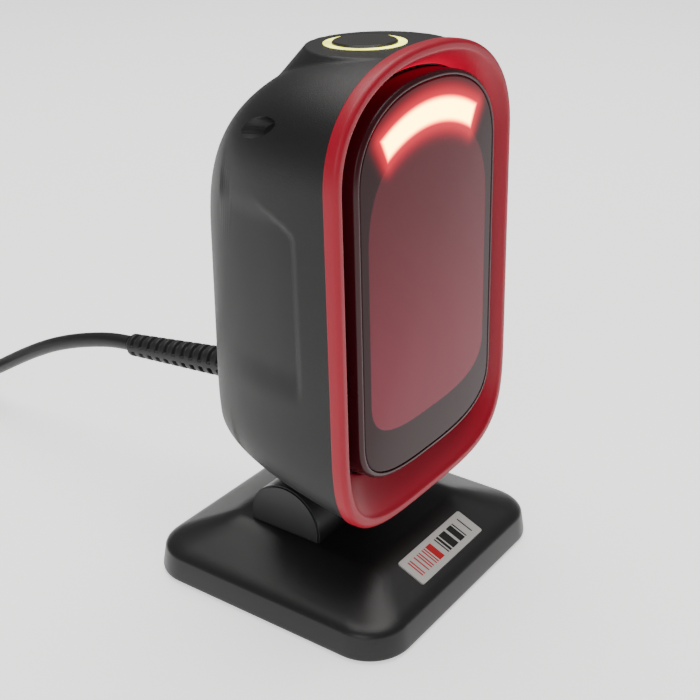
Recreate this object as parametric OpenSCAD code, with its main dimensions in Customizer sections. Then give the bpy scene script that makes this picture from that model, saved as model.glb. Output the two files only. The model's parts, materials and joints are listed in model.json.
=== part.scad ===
// Hands-free 2D barcode scanner: a tilting reading head on a low weighted foot, with its USB lead.
// Millimetres, +Z up. The origin is the middle of the foot's underside, on the counter, and the
// window looks towards -Y.

/* [Head] */
// Width of the bezel ring, over everything
head_w = 84.4; // [76:0.2:96]
// Height of the bezel ring, measured in its own plane
head_h = 126; // [105:0.5:152]
// Depth of the head, from the ring's front to the middle of the back
head_d = 62; // [56:0.5:74]
// Wall of the rear housing
shell_wall = 2.2; // [1.8:0.1:3]
// How far the head leans back as it stands, in degrees
head_lean = 1.7; // [0:0.1:6]

/* [Bezel and window] */
// Depth of the ring's outer band
bezel_d = 4; // [3:0.5:7]
// Width of the ring's flat front rim
rim_w = 2.5; // [1.8:0.1:4]
// Gap between the rim and the window frame at the sides
funnel_w = 5.9; // [4.5:0.1:8]
// Depth of the funnel between the rim and the window frame
funnel_d = 7.2; // [5:0.1:9]
// Height of the window frame's lower edge above the bottom of the ring
window_sill = 12.6; // [9:0.1:18]
// Thickness of the smoked window
lens_t = 1.8; // [1.2:0.1:2.6]
// Width of the clear zone in the window
clear_w = 57.4; // [44:0.2:60]

/* [Light bar] */
// Outer radius of the arched light bar
bar_r = 49; // [44:0.5:52]
// Width of the light bar
bar_w = 6.7; // [4:0.1:9]
// Angle that the light bar spans, in degrees
bar_angle = 56; // [36:1:60]
// Number of lamps behind the light bar
bar_lamps = 7; // [3:1:9]

/* [Trigger button] */
// How far the level crown lies below the top of the ring
crown_drop = 1.5; // [0.8:0.1:3]
// Radius of the crown's top
crown_r = 18.6; // [16.5:0.1:20]
// Distance of the button's centre behind the ring's front
button_y = 20.2; // [19:0.1:24]
// Diameter of the trigger button
button_dia = 17; // [14:0.5:18]
// Outer diameter of the light ring round the button
ring_dia = 21.5; // [19.5:0.5:23]
// Travel of the button
button_travel = 0.8; // [0.4:0.1:1.2]

/* [Foot] */
// Width of the foot
base_w = 90; // [82:0.5:110]
// Depth of the foot, front to back
base_d = 86; // [78:0.5:104]
// Radius of the foot's corners in plan
base_corner = 13.5; // [10:0.5:18]
// Height of the foot's upright sides
base_side = 8.9; // [7:0.1:12]
// Height of the flat top that the hinge stands on
base_top = 16; // [14.5:0.1:20]
// Width and depth of that flat top
plateau = 49; // [46:0.5:60]
// Wall of the foot's cover
base_wall = 2.4; // [2:0.1:3]

/* [Hinge] */
// Width of the hinge block, end to end
knuckle_w = 46.8; // [42:0.2:48]
// Radius of the hinge block's round top
knuckle_r = 12.4; // [11.5:0.1:15]
// Distance of the hinge axis behind the middle of the foot
pivot_y = 6; // [2:0.1:8]
// Height of the hinge axis above the counter
pivot_z = 24.5; // [24.5:0.1:27]
// Diameter of the axle
axle_dia = 5; // [4:0.5:6]
// Width of the slot between the hinge block's cheeks
slot_w = 24; // [20:0.5:26]
// Thickness of each friction washer
washer_t = 0.75; // [0.5:0.05:1]

/* [Lead] */
// Diameter of the lead
lead_dia = 5; // [4:0.1:5]
// Length of the ribbed boot behind the housing
boot_l = 60; // [40:1:66]
// Diameter of the boot at the housing
boot_dia = 10.4; // [9:0.1:12]
// Diameter of the boot at its tip
boot_tip_dia = 7.4; // [6.4:0.1:8.5]
// Height of the lead's exit above the bottom of the ring
exit_z = 23.2; // [18:0.1:32]
// How far the boot droops from the head's own axis, in degrees
boot_droop = 4.9; // [0:0.1:10]

/* [Clearances] */
// Radial gap round the axle
axle_gap = 0.05; // [0.02:0.01:0.1]
// Radial gap round the button's stem
stem_gap = 0.05; // [0.02:0.01:0.1]
// Gap round the button's cap
cap_gap = 0.25; // [0.15:0.05:0.4]
// Gap between pieces that are fitted together and don't move
seat_gap = 0.1; // [0.05:0.05:0.3]

/* [Hidden] */
$fn = 48;

// ---- Outlines and lofts ----------------------------------------------------------------

// Steps along each half of an outline
HALF = 32;

function power(v, p) = sign(v) * pow(abs(v), p);

// A closed outline in the x-z plane: straight sides between a squared-off arch at the top and one
// at the bottom. o = [half width, bottom z, top z, arch height, arch squareness,
// foot height, foot squareness]; squareness 2 is an ellipse, and more is squarer.
function outline(o) = [
  for (i = [0:HALF]) let (a = 180 * i / HALF)
    [o[0] * power(cos(a), 2 / o[4]), o[2] - o[3] + o[3] * power(sin(a), 2 / o[4])],
  for (i = [0:HALF]) let (a = 180 + 180 * i / HALF)
    [o[0] * power(cos(a), 2 / o[6]), o[1] + o[5] + o[5] * power(sin(a), 2 / o[6])]
];

// The same outline moved in by e all round
function inset(o, e) = [o[0] - e, o[1] + e, o[2] - e, o[3] - e, o[4], o[5] - e, o[6]];

// An outline stood upright at depth y
function at_depth(pts, y) = [for (p = pts) [p[0], y, p[1]]];

// Quads between rings a and b, both starting at the given point numbers, as triangles
function strip(a, b, n) = [
  for (j = [0:n - 1]) let (k = (j + 1) % n) each [[a + j, a + k, b + k], [a + j, b + k, b + j]]
];

function joined(rings) = [for (r = rings) each r];

// A solid through a row of rings, with a flat cap at each end
module loft(rings) {
  n = len(rings[0]);
  last = (len(rings) - 1) * n;
  polyhedron(joined(rings), concat(
    [for (i = [0:len(rings) - 2]) each strip(i * n, (i + 1) * n, n)],
    [[for (j = [n - 1:-1:0]) j]],
    [[for (j = [0:n - 1]) last + j]]));
}

// A closed frame: the rings run round a cross-section and meet again
module frame_of(rings) {
  n = len(rings[0]);
  m = len(rings);
  polyhedron(joined(rings), [for (i = [0:m - 1]) each strip(i * n, ((i + 1) % m) * n, n)]);
}

// A pipe of radius r through a route, turned so that it never twists about an upright line
module pipe(route, r, sides) {
  function along(i) =
    let (a = route[max(i - 1, 0)], b = route[min(i + 1, len(route) - 1)]) (b - a) / norm(b - a);
  function side(t) = let (c = abs(t[2]) < 0.95 ? cross([0, 0, 1], t) : cross([1, 0, 0], t)) c / norm(c);
  loft([for (i = [0:len(route) - 1]) let (t = along(i), s = side(t), u = cross(t, s))
    [for (j = [0:sides - 1]) let (a = -360 * j / sides) route[i] + r * (cos(a) * s + sin(a) * u)]]);
}

// A rounded rectangle, w by d, as one outline in plan
function plan(w, d, r) = [
  for (q = [0:3]) for (i = [0:9]) let (a = 90 * q + 10 * i)
    [(q == 0 || q == 3 ? 1 : -1) * (w / 2 - r) + r * cos(a), (q < 2 ? 1 : -1) * (d / 2 - r) + r * sin(a)]
];

function at_height(pts, z) = [for (p = pts) [p[0], p[1], z]];

// ---- The head's own frame --------------------------------------------------------------
// In the head's own frame y runs back from the ring's front plane and z runs up from the bottom
// of the ring. The axle lies behind and below that corner.
face_to_axle = 35.65;
sill_to_axle = 5.25;

module head() {
  translate([0, pivot_y, pivot_z]) rotate([-head_lean, 0, 0]) translate([0, -face_to_axle, sill_to_axle])
    children();
}

// A cylinder along y, from y0 to y1
module rod_y(r, y0, y1) { translate([0, y0, 0]) rotate([-90, 0, 0]) cylinder(r = r, h = y1 - y0); }
// A cylinder along x, from x0 to x1
module rod_x(r, x0, x1) { translate([x0, 0, 0]) rotate([0, 90, 0]) cylinder(r = r, h = x1 - x0); }
// A pan-head screw along +z, with its head below the origin
module screw(r, l, head_r, head_h) {
  cylinder(r = r, h = l);
  translate([0, 0, -head_h]) difference() {
    cylinder(r = head_r, h = head_h);
    translate([0, 0, -0.1]) cylinder(r = head_r * 0.45, h = head_h * 0.6 + 0.1, $fn = 6);
  }
}

ring_o = [head_w / 2, 0, head_h, 30, 2.3, 36, 3.9];
window_o = [head_w / 2 - rim_w - funnel_w, window_sill, head_h - 7.2, 24, 2.3, 18, 3];
band_inset = 0.3;

// The housing's cross-section at depth y, for a skin that lies t inside the outer one. The sides
// close as a squared-off ellipse in plan, the top falls back in the same way, and the underside
// climbs from the ring before it rounds up into the back.
top_mid = head_h - 50;
low_mid = 60;
climb = 0.19;
lean_back = 0.037;
function section(y, t) =
  let (d = head_d - t, u = (y - bezel_d) / (d - bezel_d),
       w = (ring_o[0] - band_inset - t) * pow(1 - pow(u, 2.5), 0.4),
       ut = max(y - bezel_d - 2, 0) / (d - bezel_d - 2),
       top = top_mid + (head_h - band_inset - t - top_mid) * pow(1 - pow(ut, 2.15), 1 / 2.15),
       ub = max(y - 0.81 * d, 0) / (0.19 * d),
       low = low_mid - (low_mid - band_inset - t - climb * (y - bezel_d)) * pow(1 - pow(ub, 1.3), 1 / 1.3),
       fit = 0.48 * (top - low))
  [w, low, top, min(29.5 + 0.5 * u, fit), 2.3 + 0.8 * u, min(36 - 21 * u, fit), 3.9 - 1.6 * u];

// One ring of the housing's skin; upright slices lean so that the back stands vertical
function skin_ring(y, t) =
  let (u = (y - bezel_d) / (head_d - t - bezel_d))
  [for (p = outline(section(y, t))) [p[0], y - lean_back * u * (p[1] - low_mid), p[1]]];

function skin(t, steps) = [
  for (i = [0:steps]) skin_ring(bezel_d + (head_d - t - bezel_d) * sin(88 * i / steps), t)
];

// Height of the housing's underside on its centre line
function floor_z(y) = band_inset + climb * (y - bezel_d);

// ---- Foot ------------------------------------------------------------------------------
foot_gap = 0.5;
side_draft = 1.45;
plateau_corner = 4;
plate_t = 2;
plate_z = 1.4;
post_r = 3.2;
foot_r = 5.5;
foot_x = base_w / 2 - base_corner;
foot_y = base_d / 2 - base_corner;
post_x = base_w * 0.22;
post_y = base_d / 2 - 9;
block_screw_x = slot_w / 2 + 4.8;
block_screw_y = 8.3;

module foot_form(e, z0) {
  loft([
    at_height(plan(plateau + 1 - e, plateau - e, plateau_corner), base_top - e),
    at_height(plan(base_w - 2 * side_draft - 2 * e, base_d - 2 * side_draft - 2 * e,
      base_corner - side_draft - e), base_side - e / 2),
    at_height(plan(base_w - 2 * e, base_d - 2 * e, base_corner - e), z0)
  ]);
}

module base_cover() color([0.07, 0.07, 0.075]) difference() {
  union() {
    difference() {
      foot_form(0, foot_gap);
      foot_form(base_wall, foot_gap - 0.1);
    }
    for (x = [-post_x, post_x], y = [-post_y, post_y])
      translate([x, y, plate_z + plate_t]) cylinder(r = post_r, h = base_side - plate_z - plate_t + 0.8);
  }
  for (x = [-post_x, post_x], y = [-post_y, post_y])
    translate([x, y, plate_z]) cylinder(r = 1.25, h = base_side - 1.5);
  for (x = [-block_screw_x, block_screw_x], y = [-block_screw_y, block_screw_y])
    translate([x, pivot_y + y, base_top - base_wall - 1]) cylinder(r = 1.6, h = base_wall + 2);
}

module base_plate() color([0.12, 0.12, 0.13]) difference() {
  translate([0, 0, plate_z]) linear_extrude(plate_t)
    polygon(plan(base_w - 2 * base_wall - 2, base_d - 2 * base_wall - 2, base_corner - base_wall - 1));
  for (x = [-post_x, post_x], y = [-post_y, post_y]) translate([x, y, plate_z - 0.1]) {
    cylinder(r = 1.6, h = plate_t + 1);
    cylinder(r = 3, h = 1.3);
  }
  for (x = [-foot_x, foot_x], y = [-foot_y, foot_y])
    translate([x, y, plate_z - 0.1]) cylinder(r = foot_r + seat_gap, h = 0.7);
}

module rubber_feet() color([0.05, 0.05, 0.05])
  for (x = [-foot_x, foot_x], y = [-foot_y, foot_y]) translate([x, y, 0]) {
    cylinder(r1 = foot_r - 0.4, r2 = foot_r, h = 0.4);
    translate([0, 0, 0.4]) cylinder(r = foot_r, h = plate_z + 0.2);
  }

module ballast_plate() color([0.45, 0.46, 0.48]) difference() {
  translate([0, 0, plate_z + plate_t]) linear_extrude(5) polygon(plan(60, 50, 5));
  for (x = [-22, 22]) translate([x, 0, 0]) cylinder(r = 2.5, h = 20);
}

module base_screws() color([0.6, 0.6, 0.62])
  for (x = [-post_x, post_x], y = [-post_y, post_y])
    translate([x, y, plate_z + 1.2]) screw(1.25, 5, 2.8, 1.1);

// The sign plate lies in the foot's front slope
slope_y0 = base_d / 2 - side_draft;
slope_rise = base_top - base_side;
slope_run = slope_y0 - plateau / 2;
slope_a = atan(slope_rise / slope_run);
label_w = 33.4;
label_h = 9.4;
label_t = 0.5;

module label_plate() color([0.72, 0.72, 0.7])
  translate([0, -slope_y0, base_side]) rotate([slope_a, 0, 0]) translate([0, 9, 0])
    linear_extrude(label_t) polygon(plan(label_w, label_h, 0.8));

// ---- Hinge -----------------------------------------------------------------------------
cap_t = 1.5;
cheek_x = knuckle_w / 2 - cap_t;
arc_z = 2;
nut_pocket_r = 4.4;
nut_pocket_d = 4.4;
arm_w = slot_w - 2 * washer_t - 0.1;
arm_r = 6;
slot_floor = 2;

// The block's end view: a flat-footed half round, standing at the origin
module knuckle_face(e) {
  translate([0, arc_z]) intersection() {
    circle(r = knuckle_r - e, $fn = 96);
    translate([-knuckle_r, 0]) square([2 * knuckle_r, knuckle_r]);
  }
  translate([-knuckle_r + e, 0]) square([2 * (knuckle_r - e), arc_z + 0.01]);
}

// Stands an end view upright on the foot and extrudes it along x, from x0 to x1
module along_x(x0, x1) {
  translate([x0, pivot_y, base_top]) rotate([90, 0, 90]) linear_extrude(x1 - x0) children();
}

module pivot_block() color([0.08, 0.08, 0.085]) difference() {
  along_x(-cheek_x, cheek_x) knuckle_face(0);
  translate([-slot_w / 2, pivot_y - knuckle_r - 1, base_top + slot_floor])
    cube([slot_w, 2 * knuckle_r + 2, knuckle_r + 5]);
  translate([0, pivot_y, pivot_z]) {
    rod_x(axle_dia / 2 + axle_gap, -cheek_x - 1, cheek_x + 1);
    rod_x(nut_pocket_r, -cheek_x - 1, -cheek_x + nut_pocket_d);
    rod_x(nut_pocket_r, cheek_x - nut_pocket_d, cheek_x + 1);
  }
  for (x = [-block_screw_x, block_screw_x], y = [-block_screw_y, block_screw_y])
    translate([x, pivot_y + y, base_top - 0.1]) cylinder(r = 1.15, h = 5);
}

module knuckle_caps() color([0.09, 0.09, 0.095]) for (m = [0, 1]) mirror([m, 0, 0]) {
  along_x(cheek_x, cheek_x + cap_t - 0.5) knuckle_face(0);
  along_x(cheek_x + cap_t - 0.5, cheek_x + cap_t) knuckle_face(0.5);
}

module block_screws() color([0.6, 0.6, 0.62])
  for (x = [-block_screw_x, block_screw_x], y = [-block_screw_y, block_screw_y])
    translate([x, pivot_y + y, base_top - base_wall]) screw(1.15, base_wall + 4.5, 2.6, 1.6);

module axle_bolt() color([0.7, 0.7, 0.72]) translate([0, pivot_y, pivot_z]) {
  rod_x(axle_dia / 2, -cheek_x + nut_pocket_d, cheek_x - 0.6);
  rod_x(nut_pocket_r - 0.3, -cheek_x + nut_pocket_d - 3, -cheek_x + nut_pocket_d);
}

module axle_nut() color([0.75, 0.72, 0.6]) translate([0, pivot_y, pivot_z]) difference() {
  translate([cheek_x - nut_pocket_d, 0, 0]) rotate([0, 90, 0])
    cylinder(r = nut_pocket_r - 0.1, h = 3, $fn = 6);
  rod_x(axle_dia / 2, cheek_x - nut_pocket_d - 1, cheek_x + 1);
}

module friction_washers() color([0.85, 0.85, 0.8])
  for (x = [-slot_w / 2, arm_w / 2]) translate([0, pivot_y, pivot_z]) difference() {
    rod_x(arm_r - 0.4, x, x + washer_t);
    rod_x(axle_dia / 2 + axle_gap, x - 1, x + washer_t + 1);
  }

// ---- Rear housing ----------------------------------------------------------------------
arm_pad_z = 14;
arm_pad = [40, 22];
arm_post = [16, 8];
crown_skirt = 7;
// Radius the crown's side gains for each millimetre it falls
crown_flare = 0.9;
crown_back = 4;
pilot_r = 0.8;
arm_pilot_r = 1;
arm_post_r = 3;
screw_hole_r = 1.4;
crown_wall = 2.2;
crown_bore = 15;
crown_z = head_h - crown_drop;
tail_back = funnel_d + 1.2;
frame_back = funnel_d + 2.6;
frame_out = 1.2;
frame_gap = 0.3;
ring_flange = 0.55;
// The button stands as far forward as the bezel's tail allows
button_at = max(button_y, tail_back + ring_dia / 2 + ring_flange + 0.35);
crown_y = button_at - crown_back;
stack_front = funnel_d + 4.9;
exit_y = head_d - 5.6;
pocket_at = [head_w / 2 - 6.3, funnel_d + 19.4, head_h - 16.4];
pocket_turn = 12;
pocket_r = 2.7;
pocket_depth = 8.8;
tube_r = 4.2;
tube_l = (pocket_at[1] - tail_back - 0.1) / cos(pocket_turn) - tube_r * tan(pocket_turn);

// Places a child on the axis of a housing screw: +z runs forward and in from the pocket's mouth
module screw_axis(s) {
  translate([s * pocket_at[0], pocket_at[1], pocket_at[2]]) rotate([90, 0, -s * pocket_turn]) children();
}

module boot_axis() { translate([0, exit_y, exit_z]) rotate([-boot_droop, 0, 0]) children(); }

// The shell, as one skin: over the outside to the back, and forward again along the inside
module housing_shell() {
  outer = skin(0, 12);
  inner = skin(shell_wall, 9);
  n = len(outer[0]);
  m = len(outer);
  k = len(inner);
  polyhedron(joined(concat(outer, inner)), concat(
    [for (i = [0:m - 2]) each strip(i * n, (i + 1) * n, n)],
    [[for (j = [0:n - 1]) (m - 1) * n + j]],
    [for (i = [0:k - 2]) each strip((m + i + 1) * n, (m + i) * n, n)],
    [[for (j = [n - 1:-1:0]) (m + k - 1) * n + j]],
    strip(m * n, 0, n)));
}

module rear_housing() color([0.09, 0.09, 0.095]) head() difference() {
  union() {
    housing_shell();
    // Skirt of the flat crown over the button
    intersection() {
      translate([0, crown_y, crown_z - crown_skirt])
        cylinder(r1 = crown_r + crown_flare * crown_skirt, r2 = crown_r - crown_flare, h = crown_skirt + 1);
      // It stands over the window frame's flange, not on it
      union() {
        translate([-50, frame_back + frame_gap, 100]) cube([100, 60, 60]);
        translate([-50, tail_back + 0.3, window_o[2] + frame_out + frame_gap]) cube([100, 60, 60]);
      }
    }
    // Posts that carry the tilt arm
    for (x = [-arm_post[0], arm_post[0]], y = [-arm_post[1], arm_post[1]])
      translate([x, face_to_axle + y, floor_z(face_to_axle + y) + 1.2])
        cylinder(r = arm_post_r, h = arm_pad_z - floor_z(face_to_axle + y) - 1.2);
    // Tubes round the two screws, up to the bezel
    intersection() {
      for (s = [-1, 1]) screw_axis(s) translate([0, 0, -20]) cylinder(r = tube_r, h = 20 + tube_l);
      loft(skin(0.5, 8));
    }
  }
  // The crown is level
  translate([-50, bezel_d - 1, crown_z]) cube([100, 60, 10]);
  // Room for the button stack below the crown's roof, and the opening for its light ring
  translate([0, button_at, crown_z - 20]) cylinder(r = crown_bore, h = 20 - crown_wall);
  translate([0, button_at, crown_z - 5]) cylinder(r = ring_dia / 2 + seat_gap, h = 10);
  for (s = [-1, 1]) translate([s * post_x_b, button_at, crown_z - 4]) cylinder(r = pilot_r, h = 3);
  // Slot for the tilt arm and pilot holes for its screws
  translate([-slot_w / 2, face_to_axle - arm_r - 0.8, -5]) cube([slot_w, 2 * arm_r + 1.6, arm_pad_z + 5]);
  for (x = [-arm_post[0], arm_post[0]], y = [-arm_post[1], arm_post[1]])
    translate([x, face_to_axle + y, arm_pad_z - 4]) cylinder(r = arm_pilot_r, h = 5);
  // Lead exit
  boot_axis() rod_y(boot_dia / 2 + seat_gap, -8, 6);
  // Screw pockets in the upper corners
  for (s = [-1, 1]) screw_axis(s) {
    translate([0, 0, -18]) cylinder(r = pocket_r, h = 18 + pocket_depth);
    cylinder(r = screw_hole_r, h = 30);
  }
}

module housing_screws() color([0.55, 0.55, 0.57]) head()
  for (s = [-1, 1]) screw_axis(s) translate([0, 0, pocket_depth]) screw(1.2, 12, 2.4, 1.4);

// ---- Bezel and window ------------------------------------------------------------------
mask_t = 0.15;
window_y = 0.4;
lens_y = window_y + 0.1;
lens_in = 1.7;
ledge_in = 4;
skirt_in = shell_wall + band_inset + 1.1;
bar_z = head_h - 62.7;
bar_y = lens_y + lens_t + mask_t + 0.05;

module bezel_ring() color([0.72, 0.12, 0.15]) head() difference() {
  bezel_form();
  for (s = [-1, 1]) screw_axis(s) cylinder(r = 1.2, h = tube_l + 4);
}

module bezel_form() frame_of([
  at_depth(outline(ring_o), 1.2),
  at_depth(outline(inset(ring_o, 0.35)), 0.35),
  at_depth(outline(inset(ring_o, 1.2)), 0),
  at_depth(outline(inset(ring_o, rim_w)), 0),
  at_depth(outline(inset(ring_o, rim_w + 0.6)), 0.9),
  at_depth(outline(inset(window_o, -0.5)), funnel_d),
  at_depth(outline(inset(window_o, -0.5)), tail_back),
  at_depth(outline(inset(ring_o, skirt_in + 1)), tail_back),
  at_depth(outline(inset(ring_o, skirt_in)), funnel_d),
  at_depth(outline(inset(ring_o, skirt_in)), bezel_d),
  at_depth(outline(ring_o), bezel_d)
]);

module window_frame() color([0.05, 0.045, 0.05]) head() difference() {
  window_form();
  for (s = [-1, 1]) screw_axis(s) cylinder(r = tube_r + 0.3, h = tube_l + 0.3);
}

module window_form() frame_of([
  at_depth(outline(inset(window_o, 0.15)), 1.2),
  at_depth(outline(inset(window_o, 0.9)), window_y),
  at_depth(outline(inset(window_o, lens_in - seat_gap)), window_y),
  at_depth(outline(inset(window_o, lens_in - seat_gap)), bar_y),
  at_depth(outline(inset(window_o, ledge_in)), bar_y),
  at_depth(outline(inset(window_o, ledge_in)), frame_back),
  at_depth(outline(inset(window_o, -frame_out)), frame_back),
  at_depth(outline(inset(window_o, -frame_out)), funnel_d + 1.3),
  at_depth(outline(inset(window_o, 0.15)), funnel_d + 1.3)
]);

module window_lens() color([0.25, 0.1, 0.12, 0.6]) head() loft([
  at_depth(outline(inset(window_o, lens_in + 0.4)), lens_y),
  at_depth(outline(inset(window_o, lens_in)), lens_y + 0.4),
  at_depth(outline(inset(window_o, lens_in)), lens_y + lens_t)
]);

// The clear zone: round-cornered, with its top arched to the light bar
clear_o = [clear_w / 2, window_sill + 13.7, bar_z + bar_r - bar_w - 2.5, 24, 2.4, 14, 3];

// A band of the arched light bar, grown by e, as a plane shape in x-z
module bar_shape(e) {
  a = bar_angle / 2 + asin(e / bar_r);
  translate([0, bar_z]) difference() {
    intersection() {
      circle(r = bar_r + e, $fn = 180);
      polygon([[0, 0], [-2 * bar_r * sin(a), 2 * bar_r * cos(a)], [2 * bar_r * sin(a), 2 * bar_r * cos(a)]]);
    }
    circle(r = bar_r - bar_w - e, $fn = 180);
  }
}

// Extrudes a plane shape in x-z from y0 to y1
module upright(y0, y1) { translate([0, y1, 0]) rotate([90, 0, 0]) linear_extrude(y1 - y0) children(); }

module lens_mask() color([0.03, 0.02, 0.02]) head() upright(lens_y + lens_t, lens_y + lens_t + mask_t)
  difference() {
    polygon(outline(inset(window_o, lens_in)));
    polygon(outline(clear_o));
    bar_shape(0);
  }

module light_bar() color([1, 0.35, 0.3]) head() upright(bar_y, bar_y + 2) bar_shape(0.6);

module light_board() color([0.1, 0.3, 0.15]) head() upright(bar_y + 3.2, bar_y + 4.6) bar_shape(1.5);

module light_lamps() color([1, 0.9, 0.8]) head()
  for (i = [0:bar_lamps - 1]) let (a = bar_angle * ((i + 0.5) / bar_lamps - 0.5))
    translate([0, 0, bar_z]) rotate([0, a, 0]) translate([-1.5, bar_y + 2.2, bar_r - bar_w / 2 - 1.5])
      cube([3, 1, 3]);

// ---- Reading engine --------------------------------------------------------------------
bracket_y = funnel_d + 2.7;
bracket_t = 2;
board_y = 40;
board_x = 22;
board_z = [34, 92];
board_w = 54;
board_h = 72;
camera_z = 62;
lamp_y = 17;

module imager_bracket() color([0.06, 0.06, 0.065]) head() difference() {
  union() {
    difference() {
      upright(bracket_y, bracket_y + bracket_t) polygon(outline(inset(window_o, 1)));
      upright(bracket_y - 1, bracket_y + bracket_t + 1) difference() {
        polygon(outline(inset(clear_o, 4)));
        for (x = [-board_x, board_x], z = board_z) translate([x, z]) circle(r = 4);
        for (x = [-23, 23]) translate([x, camera_z]) circle(r = 4);
      }
    }
    for (x = [-board_x, board_x], z = board_z) translate([x, 0, z]) rod_y(2.5, bracket_y, board_y);
    for (x = [-23, 23]) translate([x, 0, camera_z]) rod_y(2.2, bracket_y, lamp_y);
    for (a = [-18, 18]) translate([0, 0, bar_z]) rotate([0, a, 0]) translate([0, 0, bar_r - bar_w / 2])
      rod_y(2, bar_y + 4.6, bracket_y + 0.5);
  }
  for (x = [-board_x, board_x], z = board_z) translate([x, 0, z]) rod_y(0.8, board_y - 6, board_y + 1);
  for (s = [-1, 1]) screw_axis(s) cylinder(r = tube_r + 0.3, h = 30);
}

module main_board() color([0.05, 0.28, 0.14]) head() difference() {
  translate([-board_w / 2, board_y, camera_z - board_h / 2]) cube([board_w, 1.6, board_h]);
  for (x = [-board_x, board_x], z = board_z) translate([x, 0, z]) rod_y(1.2, board_y - 1, board_y + 3);
}

module board_screws() color([0.6, 0.6, 0.62]) head()
  for (x = [-board_x, board_x], z = board_z)
    translate([x, board_y + 1.6, z]) rotate([90, 0, 0]) screw(0.8, 6, 2, 1.2);

module camera_module() color([0.07, 0.07, 0.08]) head() difference() {
  translate([-12, 22, camera_z - 12]) cube([24, board_y - 22, 24]);
  translate([0, 0, camera_z]) rod_y(6, 21, 25);
}

module camera_lens() color([0.12, 0.12, 0.2]) head() translate([0, 0, camera_z]) difference() {
  rod_y(6, 14.5, 25);
  rod_y(4, 14, 15.5);
}

module lamp_board() color([0.05, 0.28, 0.14]) head() difference() {
  translate([-27, lamp_y, camera_z - 8]) cube([54, 1.2, 16]);
  translate([0, 0, camera_z]) rod_y(6.3, lamp_y - 1, lamp_y + 3);
}

module white_lamps() color([0.95, 0.93, 0.8]) head()
  for (x = [-14, 14]) translate([x - 2.5, lamp_y - 1.4, camera_z - 2.5]) cube([5, 1.4, 5]);

module lead_socket() color([0.9, 0.9, 0.86]) head()
  translate([-6, board_y + 1.6, 31]) cube([12, 5, 6]);

module beeper() color([0.04, 0.04, 0.04]) head() translate([12, 0, 78]) difference() {
  rod_y(6, board_y + 1.6, board_y + 6);
  rod_y(1, board_y + 4, board_y + 7);
}

// ---- Trigger button --------------------------------------------------------------------
roof_z = crown_z - crown_wall;
flange_z = roof_z - 1.9;
guide_z = flange_z - 2.8;
board_top = guide_z - 5.4;
stem_r = 2.5;
post_x_b = 13.2;

module at_button(z) { head() translate([0, button_at, z]) children(); }

// A round plate of radius r from z0 to z1 with its front cut straight, clear of the bezel
module stack_plate(r, z0, z1) {
  intersection() {
    translate([0, button_at, z0]) cylinder(r = r, h = z1 - z0);
    translate([-50, stack_front, 0]) cube([100, 60, 200]);
  }
}

module status_ring() color([0.85, 1, 0.5]) at_button(0) difference() {
  union() {
    translate([0, 0, flange_z]) cylinder(r = ring_dia / 2, h = crown_z + 0.1 - flange_z);
    translate([0, 0, flange_z]) cylinder(r = ring_dia / 2 + ring_flange, h = 1.8);
  }
  translate([0, 0, flange_z - 1]) cylinder(r = button_dia / 2 + cap_gap, h = 10);
}

module trigger_button() color([0.1, 0.1, 0.1]) at_button(0) {
  rise = 0.7;
  translate([0, 0, roof_z]) cylinder(r = button_dia / 2, h = crown_z + rise - 0.4 - roof_z);
  translate([0, 0, crown_z + rise - 0.4]) cylinder(r1 = button_dia / 2, r2 = button_dia / 2 - 0.4, h = 0.4);
  translate([0, 0, board_top + 3.4 + button_travel])
    cylinder(r = stem_r, h = roof_z - board_top - 3.4 - button_travel);
}

module button_guide() color([0.08, 0.08, 0.09]) head() difference() {
  union() {
    stack_plate(14.8, guide_z, guide_z + 1.6);
    translate([0, button_at, guide_z]) cylinder(r = 5.5, h = 1.6);
    translate([0, button_at, guide_z - 2]) cylinder(r = 4, h = 2);
    translate([0, button_at, guide_z + 1.6]) difference() {
      cylinder(r = ring_dia / 2 + 0.5, h = flange_z - guide_z - 1.6);
      translate([0, 0, -1]) cylinder(r = ring_dia / 2 - 1, h = 6);
      translate([-50, -50, -1]) cube([100, 50 - button_at + stack_front, 10]);
    }
    for (s = [-1, 1]) translate([s * post_x_b, button_at, board_top])
      cylinder(r = 1.5, h = roof_z - board_top);
  }
  translate([0, button_at, guide_z - 5]) cylinder(r = stem_r + stem_gap, h = 12);
  for (s = [-1, 1]) translate([s * post_x_b, button_at, board_top - 1]) cylinder(r = 1, h = 30);
}

module switch_board() color([0.05, 0.28, 0.14]) head() difference() {
  stack_plate(14.8, board_top - 1.4, board_top);
  for (s = [-1, 1]) translate([s * post_x_b, button_at, board_top - 3]) cylinder(r = 1.1, h = 5);
}

module trigger_switch() color([0.2, 0.2, 0.2]) at_button(board_top) {
  translate([-3, -3, 0]) cube([6, 6, 2.9]);
  cylinder(r = 1.7, h = 3.3);
}

module switch_screws() color([0.6, 0.6, 0.62])
  for (s = [-1, 1]) head() translate([s * post_x_b, button_at, board_top - 1.4])
    screw(0.8, roof_z + 1.6 - board_top, 1.4, 1.2);

spring_turns = 3;
spring_r = 3.9;
spring_wire = 0.25;
module button_spring() color([0.8, 0.8, 0.82]) at_button(guide_z + 1.65 + spring_wire)
  pipe([for (i = [0:16 * spring_turns]) let (a = 360 * i / 16)
    [spring_r * cos(a), spring_r * sin(a),
     (roof_z - guide_z - 1.7 - 2 * spring_wire) * i / (16 * spring_turns)]],
    spring_wire, 6);

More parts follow.
